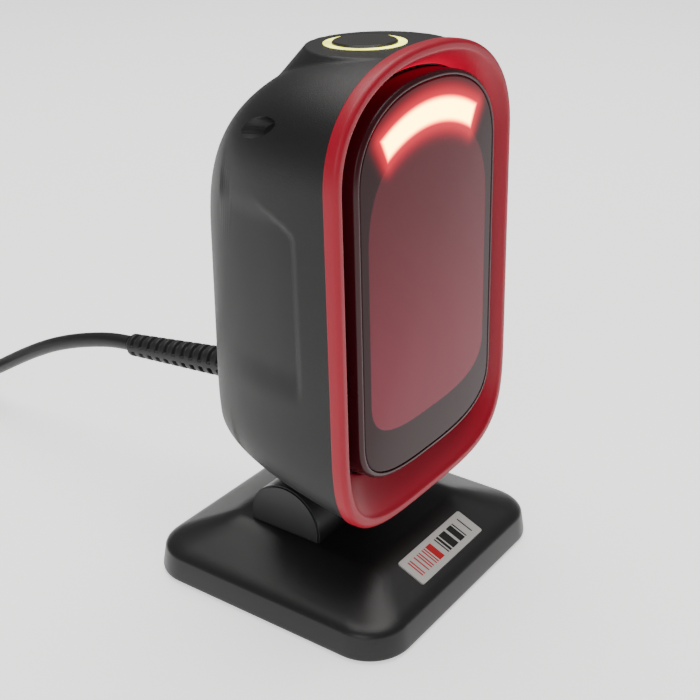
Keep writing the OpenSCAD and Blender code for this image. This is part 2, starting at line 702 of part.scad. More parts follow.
// ---- Tilt arm --------------------------------------------------------------------------
module tilt_arm() color([0.1, 0.1, 0.11]) head() translate([0, face_to_axle, -sill_to_axle]) {
  pad_z = arm_pad_z + sill_to_axle;
  difference() {
    union() {
      rod_x(arm_r, -arm_w / 2, arm_w / 2);
      translate([-arm_w / 2, -arm_r, 0]) cube([arm_w, 2 * arm_r, pad_z + 1]);
      translate([-arm_pad[0] / 2, -arm_pad[1] / 2, pad_z]) cube([arm_pad[0], arm_pad[1], 3]);
    }
    rod_x(axle_dia / 2 + axle_gap, -arm_w, arm_w);
    for (x = [-arm_post[0], arm_post[0]], y = [-arm_post[1], arm_post[1]])
      translate([x, y, pad_z - 1]) cylinder(r = 1.3, h = 5);
  }
}

module arm_screws() color([0.6, 0.6, 0.62]) head()
  for (x = [-arm_post[0], arm_post[0]], y = [-arm_post[1], arm_post[1]])
    translate([x, face_to_axle + y, arm_pad_z + 3]) mirror([0, 0, 1]) screw(1, 6.5, 2, 1.4);

// ---- Lead ------------------------------------------------------------------------------
rib_pitch = 3.8;
rib_slot = 1.6;
rib_count = 13;
spine_w = 1.8;
boot_tip_l = 2.2;

function boot_r(y) = boot_dia / 2 + (boot_tip_dia - boot_dia) / 2 * y / boot_l;

// A tapered sleeve with a row of slots that leave a spine down each side
module lead_boot() color([0.06, 0.06, 0.065]) head() boot_axis() difference() {
  union() {
    rotate([-90, 0, 0]) cylinder(r1 = boot_r(0), r2 = boot_r(boot_l - 1.2), h = boot_l - 1.2);
    translate([0, boot_l - 1.2, 0]) rotate([-90, 0, 0])
      cylinder(r1 = boot_r(boot_l), r2 = lead_dia / 2 + 0.3, h = 1.2);
    rod_y(boot_dia / 2, -4, 0.01);
    rod_y(boot_dia / 2 - 1, -6.5, -3.9);
    rod_y(boot_dia / 2 + 1.4, -8.5, -6);
  }
  for (i = [0:rib_count - 1]) let (y = boot_l - boot_tip_l - 1.4 - rib_pitch * i, r = boot_r(y))
    if (y > 4) for (side = [-1, 1]) intersection() {
      difference() {
        rod_y(r + 1, y - rib_slot / 2, y + rib_slot / 2);
        rod_y(max(r - 1.3, lead_dia / 2 + 0.4), y - rib_slot, y + rib_slot);
      }
      translate([-2 * r, y - 5, side > 0 ? spine_w / 2 : -2 * r - spine_w / 2]) cube([4 * r, 10, 2 * r]);
    }
}

// The lead's route on the counter side: it leaves the boot, falls to the counter behind the foot
// and runs straight back to its coil.
lead_route = [
  [0, 87.6, 45.7], [0, 94, 44.9], [0, 100, 43.7], [0, 107, 41.8], [0, 114, 39.6], [0, 121, 37],
  [0, 128, 34], [0, 136, 30], [0, 144, 25.6], [0, 152, 20.9], [0.5, 160, 16.2], [2, 168, 11.8],
  [4.5, 176, 8.1], [8, 184, 5.4]
];
// From the coil's upper layer down to the plug
tail_route = [[14, 235, 6.3], [14, 239, 5.7], [14, 243, 5.1], [14, 247, 4.8], [14, 251.6, 4.6]];
coil_at = [-22, 214];
coil_lift = 1;
coil_in = 12.5;
coil_out = 38.5;
coil_h = 2 * lead_dia + 0.2;
plug_at = [14, 252, 4.6];
plug = [15.6, 28, 8.6];
usb = [12, 12.2, 4.5];

module lead() color([0.06, 0.06, 0.065]) pipe(lead_route, lead_dia / 2, 12);
module lead_tail() color([0.06, 0.06, 0.065]) pipe(tail_route, lead_dia / 2, 12);

module lead_coil() color([0.06, 0.06, 0.065]) translate([coil_at[0], coil_at[1], coil_lift])
  rotate_extrude($fn = 72) translate([coil_in, 0]) square([coil_out - coil_in, coil_h]);

module coil_tie() color([0.04, 0.04, 0.04]) translate([coil_at[0], coil_at[1], 0]) rotate([0, 0, 200])
  difference() {
    translate([coil_in - 1.4, -2.5, 0]) cube([coil_out - coil_in + 2.4, 5, coil_h + 2 * coil_lift]);
    translate([coil_in - 0.4, -3, coil_lift]) cube([coil_out - coil_in + 0.5, 6, coil_h]);
  }

module usb_plug() color([0.06, 0.06, 0.065]) translate([plug_at[0], plug_at[1], plug_at[2]]) {
  upright(4, plug[1]) translate([-plug[0] / 2, -plug[2] / 2]) square([plug[0], plug[2]]);
  rotate([-90, 0, 0]) cylinder(r1 = lead_dia / 2 + 0.6, r2 = plug[2] / 2 - 0.2, h = 4);
}

module usb_shell() color([0.75, 0.75, 0.77])
  translate([plug_at[0] - usb[0] / 2, plug_at[1] + plug[1], plug_at[2] - usb[2] / 2]) difference() {
    cube(usb);
    translate([0.4, 1, 0.4]) cube([usb[0] - 0.8, usb[1], usb[2] - 0.8]);
  }

base_cover();
base_plate();
ballast_plate();
rubber_feet();
base_screws();
label_plate();
pivot_block();
block_screws();
knuckle_caps();
axle_bolt();
axle_nut();
friction_washers();
rear_housing();
bezel_ring();
window_frame();
window_lens();
lens_mask();
light_bar();
light_board();
light_lamps();
imager_bracket();
camera_module();
camera_lens();
lamp_board();
white_lamps();
main_board();
board_screws();
lead_socket();
beeper();
status_ring();
button_guide();
switch_board();
trigger_switch();
switch_screws();
button_spring();
trigger_button();
housing_screws();
tilt_arm();
arm_screws();
lead_boot();
lead();
lead_coil();
coil_tie();
lead_tail();
usb_plug();
usb_shell();
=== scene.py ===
"""Hands-free barcode scanner on its tilting foot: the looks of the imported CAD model."""
import json
import math
import bpy
import numpy as np
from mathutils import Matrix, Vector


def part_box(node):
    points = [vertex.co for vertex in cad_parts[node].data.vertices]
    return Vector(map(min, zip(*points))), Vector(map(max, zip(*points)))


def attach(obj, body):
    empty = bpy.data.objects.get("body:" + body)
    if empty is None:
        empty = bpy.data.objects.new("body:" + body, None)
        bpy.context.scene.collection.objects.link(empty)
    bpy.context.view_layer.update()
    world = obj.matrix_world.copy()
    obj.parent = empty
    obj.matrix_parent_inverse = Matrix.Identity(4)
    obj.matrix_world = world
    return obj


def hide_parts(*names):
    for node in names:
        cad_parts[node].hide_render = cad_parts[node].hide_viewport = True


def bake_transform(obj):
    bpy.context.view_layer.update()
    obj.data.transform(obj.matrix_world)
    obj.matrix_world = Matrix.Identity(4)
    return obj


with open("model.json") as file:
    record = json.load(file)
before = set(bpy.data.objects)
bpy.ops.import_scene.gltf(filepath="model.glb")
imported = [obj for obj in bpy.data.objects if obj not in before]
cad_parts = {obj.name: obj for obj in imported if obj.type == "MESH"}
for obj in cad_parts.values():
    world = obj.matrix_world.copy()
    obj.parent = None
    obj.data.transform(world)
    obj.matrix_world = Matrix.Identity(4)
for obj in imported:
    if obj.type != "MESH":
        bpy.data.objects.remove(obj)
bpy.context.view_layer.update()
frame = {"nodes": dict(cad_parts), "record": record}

# ---- View and light --------------------------------------------------------------------
# A low three-quarter view from the window's left, as a person at the till sees it. A pale
# counter and a broad soft light from above surround it.
camera = bpy.data.objects.new("view", bpy.data.cameras.new("view"))
bpy.context.scene.collection.objects.link(camera)
camera.location = (-0.25813, -0.18189, 0.21584)
camera.rotation_euler = (math.radians(64.75), 0, math.radians(-54.97))
camera.data.lens = 62.67
camera.data.sensor_width = 36
camera.data.clip_start = 0.01
bpy.context.scene.camera = camera

world = bpy.data.worlds.new("room")
bpy.context.scene.world = world
world.use_nodes = True
world.node_tree.nodes["Background"].inputs["Color"].default_value = (1, 1, 1, 1)
world.node_tree.nodes["Background"].inputs["Strength"].default_value = 0.2


def soft_light(name, place, aim, size, watts, colour):
    """A square area light at place, turned to face aim."""
    lamp = bpy.data.lights.new(name, "AREA")
    lamp.size = size
    lamp.energy = watts
    lamp.color = colour
    o = bpy.data.objects.new(name, lamp)
    bpy.context.scene.collection.objects.link(o)
    o.location = place
    ray = np.array(aim) - np.array(place)
    flat = math.hypot(ray[0], ray[1])
    o.rotation_euler = (math.atan2(flat, -ray[2]), 0, math.atan2(ray[1], ray[0]) - math.pi / 2)


soft_light("overhead", (0.25, 0.15, 1.3), (0, 0, 0), 1.2, 26, (1, 0.99, 0.97))
soft_light("side", (-0.75, -0.2, 0.45), (0, 0, 0.07), 0.5, 2.2, (1, 0.97, 0.95))


def solid(name, rows, loop=False, sharp=40):
    """A closed mesh from a grid of points, rows x columns x 3, in metres. Columns wrap round;
    rows either wrap too (loop) or end in a fan to the middle of the end row. Faces are turned
    outwards by the sign of the enclosed volume, the sum of a . (b x c) / 6."""
    r, c = rows.shape[:2]
    v = rows.reshape(-1, 3)
    i = np.arange(r if loop else r - 1)[:, None]
    j = np.arange(c)[None, :]
    k = (j + 1) % c
    n = (i + 1) % r
    quads = np.stack([i * c + j, i * c + k, n * c + k, n * c + j], axis=-1).reshape(-1, 4)
    fans = np.zeros((0, 3), int)
    if not loop:
        v = np.vstack([v, rows[0].mean(0), rows[-1].mean(0)])
        a = np.arange(c)
        b = (a + 1) % c
        front = np.stack([b, a, np.full(c, r * c)], axis=-1)
        back = np.stack([(r - 1) * c + a, (r - 1) * c + b, np.full(c, r * c + 1)], axis=-1)
        fans = np.vstack([front, back])
    tris = np.vstack([quads[:, [0, 1, 2]], quads[:, [0, 2, 3]], fans])
    volume = np.einsum("ij,ij->i", v[tris[:, 0]], np.cross(v[tris[:, 1]], v[tris[:, 2]])).sum()
    if volume < 0:
        quads = quads[:, ::-1]
        fans = fans[:, ::-1]
    mesh = bpy.data.meshes.new(name)
    mesh.from_pydata(v.tolist(), [], quads.tolist() + fans.tolist())
    mesh.shade_smooth()
    mesh.set_sharp_from_angle(angle=math.radians(sharp))
    o = bpy.data.objects.new(name, mesh)
    bpy.context.scene.collection.objects.link(o)
    return o


def face_map(o, name, grid):
    """Writes a UV layer from a grid of pairs, rows x columns x 2, one pair for each grid point;
    the two end-fan points, where there are any, take the mean of their row."""
    uv = o.data.uv_layers.new(name=name)
    corner = np.zeros(len(o.data.loops), int)
    o.data.loops.foreach_get("vertex_index", corner)
    pairs = np.vstack([grid.reshape(-1, 2), grid[0].mean(0), grid[-1].mean(0)])
    uv.data.foreach_set("uv", np.ascontiguousarray(pairs[corner], dtype=float).ravel())


def surface_group():
    """Fine moulding grain and faint cloudy wear from two noises: a normal and two 0-1 masks."""
    g = bpy.data.node_groups.new("moulded surface", "ShaderNodeTree")
    for name, value in (("Grain per metre", 4000.0), ("Grain", 0.1), ("Clouds per metre", 30.0)):
        s = g.interface.new_socket(name, in_out="INPUT", socket_type="NodeSocketFloat")
        s.default_value = value
    g.interface.new_socket("Normal", in_out="OUTPUT", socket_type="NodeSocketVector")
    g.interface.new_socket("Grain mask", in_out="OUTPUT", socket_type="NodeSocketFloat")
    g.interface.new_socket("Cloud mask", in_out="OUTPUT", socket_type="NodeSocketFloat")
    n = g.nodes
    enter = n.new("NodeGroupInput")
    leave = n.new("NodeGroupOutput")
    place = n.new("ShaderNodeTexCoord")
    fine = n.new("ShaderNodeTexNoise")
    fine.inputs["Detail"].default_value = 3
    cloud = n.new("ShaderNodeTexNoise")
    cloud.inputs["Detail"].default_value = 4
    bump = n.new("ShaderNodeBump")
    bump.inputs["Distance"].default_value = 0.0002
    g.links.new(place.outputs["Object"], fine.inputs["Vector"])
    g.links.new(place.outputs["Object"], cloud.inputs["Vector"])
    g.links.new(enter.outputs["Grain per metre"], fine.inputs["Scale"])
    g.links.new(enter.outputs["Clouds per metre"], cloud.inputs["Scale"])
    g.links.new(enter.outputs["Grain"], bump.inputs["Strength"])
    g.links.new(fine.outputs["Fac"], bump.inputs["Height"])
    g.links.new(bump.outputs["Normal"], leave.inputs["Normal"])
    g.links.new(fine.outputs["Fac"], leave.inputs["Grain mask"])
    g.links.new(cloud.outputs["Fac"], leave.inputs["Cloud mask"])
    return g


moulded = surface_group()


def finish(name, colour, rough, grain=0.1, grain_scale=4000, metal=0.0, spread=0.12, coat=0.0):
    """A Principled material whose colour and roughness drift with the grain and cloud masks."""
    m = bpy.data.materials.new(name)
    m.use_nodes = True
    n = m.node_tree.nodes
    link = m.node_tree.links.new
    skin = n["Principled BSDF"]
    g = n.new("ShaderNodeGroup")
    g.node_tree = moulded
    g.inputs["Grain per metre"].default_value = grain_scale
    g.inputs["Grain"].default_value = grain
    tint = n.new("ShaderNodeMix")
    tint.data_type = "RGBA"
    tint.inputs[6].default_value = [*(x * (1 - spread) for x in colour), 1]
    tint.inputs[7].default_value = [*(min(1, x * (1 + spread)) for x in colour), 1]
    gloss = n.new("ShaderNodeMapRange")
    gloss.inputs["To Min"].default_value = max(0.02, rough * (1 - spread))
    gloss.inputs["To Max"].default_value = min(1, rough * (1 + spread))
    link(g.outputs["Grain mask"], tint.inputs[0])
    link(g.outputs["Cloud mask"], gloss.inputs["Value"])
    link(tint.outputs[2], skin.inputs["Base Color"])
    link(gloss.outputs["Result"], skin.inputs["Roughness"])
    link(g.outputs["Normal"], skin.inputs["Normal"])
    skin.inputs["Metallic"].default_value = metal
    skin.inputs["Specular IOR Level"].default_value = 0.3
    skin.inputs["Coat Weight"].default_value = coat
    return m


def dress(node, material, edge=0.0):
    """Gives a CAD node its material and softens its sharp edges by a bevel of that width."""
    o = frame["nodes"][node]
    o.data.materials.clear()
    o.data.materials.append(material)
    if edge:
        soft = o.modifiers.new("edge", "BEVEL")
        soft.width = edge
        soft.segments = 2
        soft.limit_method = "ANGLE"
        soft.angle_limit = math.radians(35)
    return o


# ---- Lead ------------------------------------------------------------------------------
# Round PVC-jacketed USB lead, 5 mm across. It comes straight out of the boot, droops to the
# counter, runs back and lies wound in two layers of four turns, held by a strap, then ends in
# its plug.
def smooth_path(points, step):
    """Points every step along a Catmull-Rom curve through the given ones."""
    p = np.asarray(points, float)
    p = np.vstack([2 * p[0] - p[1], p, 2 * p[-1] - p[-2]])
    out = []
    for a, b, c, d in zip(p[:-3], p[1:-2], p[2:-1], p[3:]):
        t = np.linspace(0, 1, 8, endpoint=False)[:, None]
        out.append(0.5 * (2 * b + (c - a) * t + (2 * a - 5 * b + 4 * c - d) * t**2
                          + (3 * b - a - 3 * c + d) * t**3))
    q = np.vstack(out + [p[-2:-1]])
    far = np.concatenate([[0], np.cumsum(np.linalg.norm(np.diff(q, axis=0), axis=1))])
    at = np.linspace(0, far[-1], int(far[-1] / step) + 1)
    return np.stack([np.interp(at, far, q[:, i]) for i in range(3)], axis=-1)


def tube_rows(path, radius, sides):
    """Rings round a path: centre + radius (cos a side + sin a up), with side level and square to
    the path, and up square to both. radius is one number or one per point."""
    t = np.gradient(path, axis=0)
    t /= np.linalg.norm(t, axis=1)[:, None]
    side = np.cross([0, 0, 1.0], t)
    side /= np.linalg.norm(side, axis=1)[:, None]
    up = np.cross(t, side)
    a = np.linspace(0, 2 * np.pi, sides, endpoint=False)[None, :, None]
    r = np.broadcast_to(np.asarray(radius, float), (len(path),))[:, None, None]
    return path[:, None] + r * (np.cos(a) * side[:, None] + np.sin(a) * up[:, None])


lead_dia = 0.005
lead_route = [
    (0, 87.6, 45.7), (0, 94, 44.9), (0, 100, 43.7), (0, 107, 41.8), (0, 114, 39.6), (0, 121, 37),
    (0, 128, 34), (0, 136, 30), (0, 144, 25.6), (0, 152, 20.9), (0.5, 160, 16.2), (2, 168, 11.8),
    (4.5, 176, 8.1), (8, 184, 5.4), (11, 192, 4.1), (13, 200, 3.5), (13.9, 207, 3.5),
]
turn = np.arange(0, 128) / 16
lower = turn < 4
coil_r = np.where(lower, 36 - 5.1 * turn, 15.6 + 5.1 * np.maximum(turn - 4.2, 0) * 4 / 3.8)
coil_z = 3.5 + 5.1 * np.clip((turn - 4) / 0.25, 0, 1)
coil_x = -22 + coil_r * np.cos(2 * np.pi * turn)
coil_y = 214 + coil_r * np.sin(2 * np.pi * turn)
coil = np.stack([coil_x, coil_y, coil_z], axis=-1)
tail = [(14, 224, 7.9), (14, 235, 6.3), (14, 243, 5.1), (14, 251.6, 4.6)]
lead_path = smooth_path(np.vstack([lead_route, coil, tail]) * 0.001, 0.0035)
lead = solid("lead_jacket", tube_rows(lead_path, lead_dia / 2, 20))
lead_skin = finish("lead jacket", (0.012, 0.012, 0.013), 0.42, grain=0.08, grain_scale=2500)
lead.data.materials.append(lead_skin)
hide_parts("lead", "lead_coil", "lead_tail")
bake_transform(lead)

# The strap round the coil: a soft black band
dress("coil_tie", finish("strap", (0.02, 0.02, 0.021), 0.7, grain=0.4, grain_scale=1500), 0.0002)
# Plug: overmoulded body and a folded, plated shell
dress("usb_plug", finish("plug overmould", (0.014, 0.014, 0.015), 0.38, grain=0.1), 0.0012)
dress("usb_shell", finish("plated shell", (0.72, 0.72, 0.74), 0.22, grain=0.04, metal=1.0), 0.0001)

# ---- Head: shared shape ----------------------------------------------------------------
# The head leans back a little about its axle. Its own frame has y running back from the ring's
# front and z up from the ring's bottom, both in millimetres; the axle is behind and below.
lean = math.radians(1.7)
axle = np.array(frame["record"]["behaviour"]["joints"][0]["pos_m"])
face_to_axle = 35.65
sill_to_axle = 5.25


def head_to_world(p):
    """Turns head-frame millimetres into the row frame: a turn by the lean about the axle."""
    y = (p[..., 1] - face_to_axle) * 0.001
    z = (p[..., 2] + sill_to_axle) * 0.001
    back = axle[1] + y * math.cos(lean) + z * math.sin(lean)
    up = axle[2] - y * math.sin(lean) + z * math.cos(lean)
    return np.stack([p[..., 0] * 0.001 + axle[0], back, up], axis=-1)


def outline(o, weight=None, count=420):
    """x, z points evenly spaced along a closed outline: |x/w|^n + |z/h|^n = 1 for the arch at the
    top and again at the foot, with straight sides. o = (w, bottom, top, arch height, arch n,
    foot height, foot n). weight(x, z) above 1 crowds the points there."""
    w, low, top, arch, na, foot, nf = o
    a = np.linspace(0, np.pi, 1500)
    c = np.cos(a)
    s = np.sin(a)
    xa = w * np.sign(c) * np.abs(c) ** (2 / na)
    za = top - arch + arch * s ** (2 / na)
    xf = -w * np.sign(c) * np.abs(c) ** (2 / nf)
    zf = low + foot - foot * s ** (2 / nf)
    right = np.linspace(low + foot, top - arch, 400)[1:-1]
    x = np.concatenate([xa, np.full(398, -w), xf, np.full(398, w)])
    z = np.concatenate([za, right[::-1], zf, right])
    x = np.append(x, x[0])
    z = np.append(z, z[0])
    step = np.hypot(np.diff(x), np.diff(z))
    if weight is not None:
        step = step * weight((x[1:] + x[:-1]) / 2, (z[1:] + z[:-1]) / 2)
    far = np.concatenate([[0], np.cumsum(step)])
    at = np.linspace(0, far[-1], count, endpoint=False)
    return np.interp(at, far, x), np.interp(at, far, z)


def inset(o, e):
    """The outline moved in by e all round."""
    return (o[0] - e, o[1] + e, o[2] - e, o[3] - e, o[4], o[5] - e, o[6])


def step_up(x, low, high):
    """0 below low, 1 above high, 3t^2 - 2t^3 between."""
    t = np.clip((x - low) / (high - low), 0, 1)
    return t * t * (3 - 2 * t)


def rounded(points, radius, per_corner=5):
    """A profile with each inner corner replaced by a quadratic curve starting radius away."""
    p = np.asarray(points, float)
    out = [p[:1]]
    for a, b, c in zip(p[:-2], p[1:-1], p[2:]):
        la = np.linalg.norm(a - b)
        lc = np.linalg.norm(c - b)
        s = b + (a - b) * min(radius / la, 0.45)
        e = b + (c - b) * min(radius / lc, 0.45)
        t = np.linspace(0, 1, per_corner)[:, None]
        out.append((1 - t) ** 2 * s + 2 * t * (1 - t) * b + t**2 * e)
    out.append(p[-1:])
    return np.vstack(out)


ring_line = (42.2, 0, 126, 30, 2.3, 36, 3.9)
window_line = (33.8, 12.6, 118.8, 24, 2.3, 18, 3)


def swept(profile, count=420):
    """Rings of head-frame points along a cross-section of (share, inset, depth) triples, where the
    share runs from 0 on the ring's outline to 1 on the window's."""
    rings = []
    for k, e, depth in profile:
        line = [a * (1 - k) + b * k for a, b in zip(ring_line, window_line)]
        x, z = outline(inset(line, e), count=count)
        rings.append(np.stack([x, np.full(count, depth), z], axis=-1))
    return np.array(rings)


# ---- Rear housing ----------------------------------------------------------------------
# One-piece injection-moulded shell, fine spark-eroded grain, closing towards the back as a
# squared-off ellipse. It carries a level crown for the button, a shallow recess on each side
# with a crisp front edge, and a deep pocket over each upper screw.
head_d = 62.0
wall = 2.2
crown_z = 124.5
crown_y = 16.2
crown_r = 18.6
crown_flare = 0.9
button_y = 20.2
well_r = 10.3
well_depth = 3.4
recess_depth = 0.95
pocket_at = (35.9, 26.6, 109.6)
pocket_turn = math.radians(12)
pocket_r = 2.55
pocket_depth = 8.8


def section(y, t):
    """The shell's outline at depth y for a skin t inside the outer one."""
    d = head_d - t
    u = (y - 4) / (d - 4)
    w = (41.9 - t) * (1 - u**2.5) ** 0.4
    ut = max(y - 6, 0) / (d - 6)
    top = 76 + (125.7 - t - 76) * (1 - ut**2.15) ** (1 / 2.15)
    ub = max(y - 0.81 * d, 0) / (0.19 * d)
    low = 60 - (60 - 0.3 - t - 0.19 * (y - 4)) * (1 - ub**1.3) ** (1 / 1.3)
    fit = 0.48 * (top - low)
    return (w, low, top, min(29.5 + 0.5 * u, fit), 2.3 + 0.8 * u, min(36 - 21 * u, fit), 3.9 - 1.6 * u)


def crowd(x, z):
    """Twice the points over the shoulders, and five times beside the pockets."""
    beside = step_up(np.abs(x), 31, 32.5) * step_up(z, 103, 105) * (1 - step_up(z, 113, 115))
    return 1 + 1.3 * step_up(z, 96, 100) + 5 * beside


def skin(depths, t):
    """Rings of the shell at the given depths, t inside the outer skin. Each ring is pushed forward
    above z = 60 and back below it, by 0.037 of that height times the share of the depth passed."""
    rings = []
    for y in depths:
        u = (y - 4) / (head_d - t - 4)
        x, z = outline(section(y, t), crowd, 640)
        rings.append(np.stack([x, y - 0.037 * u * (z - 60), z], axis=-1))
    return np.array(rings)


def crowned(p):
    """Blends in the crown, z = crown_z - (r - crown_r) / crown_flare beyond its level top, with a
    soft fillet k wide, cuts it level, and sinks the button's well."""
    x, y, z = p[..., 0], p[..., 1], p[..., 2].copy()
    r = np.hypot(x, y - crown_y)
    cone = crown_z - np.maximum(r - crown_r, 0) / crown_flare
    near = z > 100
    k = 0.5
    h = np.clip(0.5 + 0.5 * (cone - z) / k, 0, 1)
    lifted = z * (1 - h) + cone * h + k * h * (1 - h)
    z = np.where(near & (r < 30), lifted, z)
    flat = 1 - step_up(r, crown_r - 0.1, crown_r + 0.3)
    strip = (y < crown_y) & (np.abs(x) < crown_r - 0.3)
    z = np.where(near & ((r < crown_r + 0.1) | strip), np.minimum(z, crown_z), z)
    well = 1 - step_up(np.hypot(x, y - button_y), well_r - 0.2, well_r + 0.2)
    z = np.where(near, z - well_depth * well * flat, z)
    return np.stack([x, y, z], axis=-1)


def recessed(p):
    """Sinks a panel recess_depth into each side behind an edge that bends back at the shoulder."""
    x, y, z = p[..., 0], p[..., 1], p[..., 2]
    edge = 12.6 + 14 * step_up(z, 84.5, 95)
    depth = step_up(y, edge, edge + 2.4) * (1 - step_up(y, 24, 46))
    depth = depth * step_up(z, 40, 50) * (1 - step_up(z, 87, 94))
    side = step_up(np.abs(x), 20, 32)
    return np.stack([x - recess_depth * np.sign(x) * depth * side, y, z], axis=-1)


def pocketed(p):
    """Pushes the skin inside each screw bore forward along the bore to its floor."""
    q = p.copy()
    a = pocket_turn
    for s in (-1, 1):
        mouth = np.array([s * pocket_at[0], pocket_at[1], pocket_at[2]])
        run = np.array([-s * math.sin(a), -math.cos(a), 0])
        along = (p - mouth) @ run
        off = np.linalg.norm(p - mouth - along[..., None] * run, axis=-1)
        inside = (1 - step_up(off, pocket_r - 0.2, pocket_r + 0.2)) * (np.abs(along) < 9)
        q += (inside * np.maximum(pocket_depth - along, 0))[..., None] * run
    return q


tail_depths = 37 + (head_d - 37) * np.sin(np.linspace(0.03, 1.5, 34))
front_depths = np.concatenate([np.arange(4.45, 23, 0.5), np.arange(23, 31, 0.2), np.arange(31, 37, 0.5)])
depths = np.concatenate([[4.0], front_depths, tail_depths])
depths = depths[depths < head_d - 0.02]
outer = pocketed(recessed(crowned(skin(depths, 0))))
inner = skin(4 + (head_d - wall - 4) * np.sin(np.linspace(0, 1.5, 14)), wall)
lip = outer[:1] * 0.85 + inner[:1] * 0.15
shell = solid("rear_shell", head_to_world(np.concatenate([outer[::-1], lip, inner])), sharp=50)
shell_skin = finish("shell plastic", (0.009, 0.0082, 0.0086), 0.48, grain=0.28, grain_scale=3500)
shell.data.materials.append(shell_skin)
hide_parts("rear_housing")
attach(shell, "head")

# ---- Bezel ring ------------------------------------------------------------------------
# Separately moulded red ring, satin outside, with a narrow flat rim and a smooth funnel that
# runs down to the window. Its tail carries the two housing screws.
bezel_profile = [
    (0, 2.9, 4.0), (0, 0.0, 4.0), (0, 0.0, 0.9), (0, 0.75, 0.0), (0, 2.5, 0.0), (0, 3.1, 0.9),
    (1, -0.4, 7.2), (1, -0.4, 8.4), (0, 4.6, 8.4), (0, 3.6, 7.2), (0, 3.6, 4.05), (0, 2.9, 4.0),
]
bezel = solid("bezel", head_to_world(swept(rounded(bezel_profile, 0.5))[:-1]), loop=True, sharp=60)
red = finish("red moulding with painted bar light", (0.3, 0.0035, 0.018), 0.42, grain=0.14, grain_scale=3000, spread=0.07)
# Painted light: the bar's red light falling into the funnel is painted on as an emission of the red
# moulding. It is strongest near the top of the bar and fades with distance from it, only inside the funnel.
shares = rounded(bezel_profile, 0.5)[:-1]
bezel_rows = swept(shares)
bar_top = np.array([0, 109.0])
painted_light_reach = 32
painted_light_falloff = np.exp(-((np.linalg.norm(bezel_rows[..., [0, 2]] - bar_top, axis=-1) / painted_light_reach) ** 2))
in_funnel = step_up(shares[:, 0], 0.02, 0.5) * (shares[:, 2] < 7.4)
face_map(bezel, "glow", np.stack([in_funnel[:, None] * painted_light_falloff, painted_light_falloff], axis=-1))
red_nodes = red.node_tree.nodes
lit = red_nodes.new("ShaderNodeUVMap")
lit.uv_map = "glow"
painted_light_split = red_nodes.new("ShaderNodeSeparateXYZ")
painted_light_power = red_nodes.new("ShaderNodeMath")
painted_light_power.operation = "MULTIPLY"
painted_light_power.inputs[1].default_value = 0.95
red.node_tree.links.new(lit.outputs["UV"], painted_light_split.inputs[0])
red.node_tree.links.new(painted_light_split.outputs[0], painted_light_power.inputs[0])
red.node_tree.links.new(painted_light_power.outputs[0], red_nodes["Principled BSDF"].inputs["Emission Strength"])
red_nodes["Principled BSDF"].inputs["Emission Color"].default_value = (1.0, 0.0, 0.05, 1)
bezel.data.materials.append(red)
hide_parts("bezel_ring")
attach(bezel, "head")

# ---- Window frame ----------------------------------------------------------------------
# Glossy black moulding that stands in the funnel and holds the window flush.
frame_profile = [
    (1, 1.0, 9.8), (1, -1.2, 9.8), (1, -1.2, 8.5), (1, 0.15, 8.5), (1, 0.15, 1.2), (1, 0.9, 0.42),
    (1, 1.65, 0.42), (1, 1.65, 2.6), (1, 4.0, 2.6), (1, 4.0, 9.8), (1, 1.0, 9.8),
]
rim = solid("window_rim", head_to_world(swept(rounded(frame_profile, 0.35))[:-1]), loop=True, sharp=60)
# Painted light: the black gloss frame is coloured with a dark red cast that stands for red light from the
# bar and the ring falling on it.
rim.data.materials.append(finish("frame gloss with painted red cast", (0.035, 0.003, 0.006), 0.28, grain=0.05, spread=0.2))
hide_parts("window_frame")
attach(rim, "head")

# ---- Window ----------------------------------------------------------------------------
# Flat acrylic 1.8 mm thick, back-printed black round the edge, smoked and slightly mauve in the
# clear zone, with the lit bar showing through under the top arch.
lens_profile = [(1, 1.7, 2.3), (1, 1.7, 0.85), (1, 2.05, 0.5), (1, 14.0, 0.5)]
lens_rows = swept(rounded(lens_profile, 0.2))
middle = np.array([0, 0, 66.0])
core_front = lens_rows[-1] * [0.02, 1, 0.02] + middle * [0, 0, 0.98]
core_back = lens_rows[0] * [0.02, 1, 0.02] + middle * [0, 0, 0.98]
lens_flat = np.concatenate([core_back[None], lens_rows[:-1], core_front[None]])
lens_flat[-1, :, 1] = 0.5
lens = solid("window_pane", head_to_world(lens_flat), sharp=50)
face_map(lens, "face", lens_flat[..., [0, 2]])


bar_centre_z = 63.3
bar_middle_r = 45.65
bar_half_w = 3.35
bar_half_turn = math.radians(28)
clear_half_w = 28.7


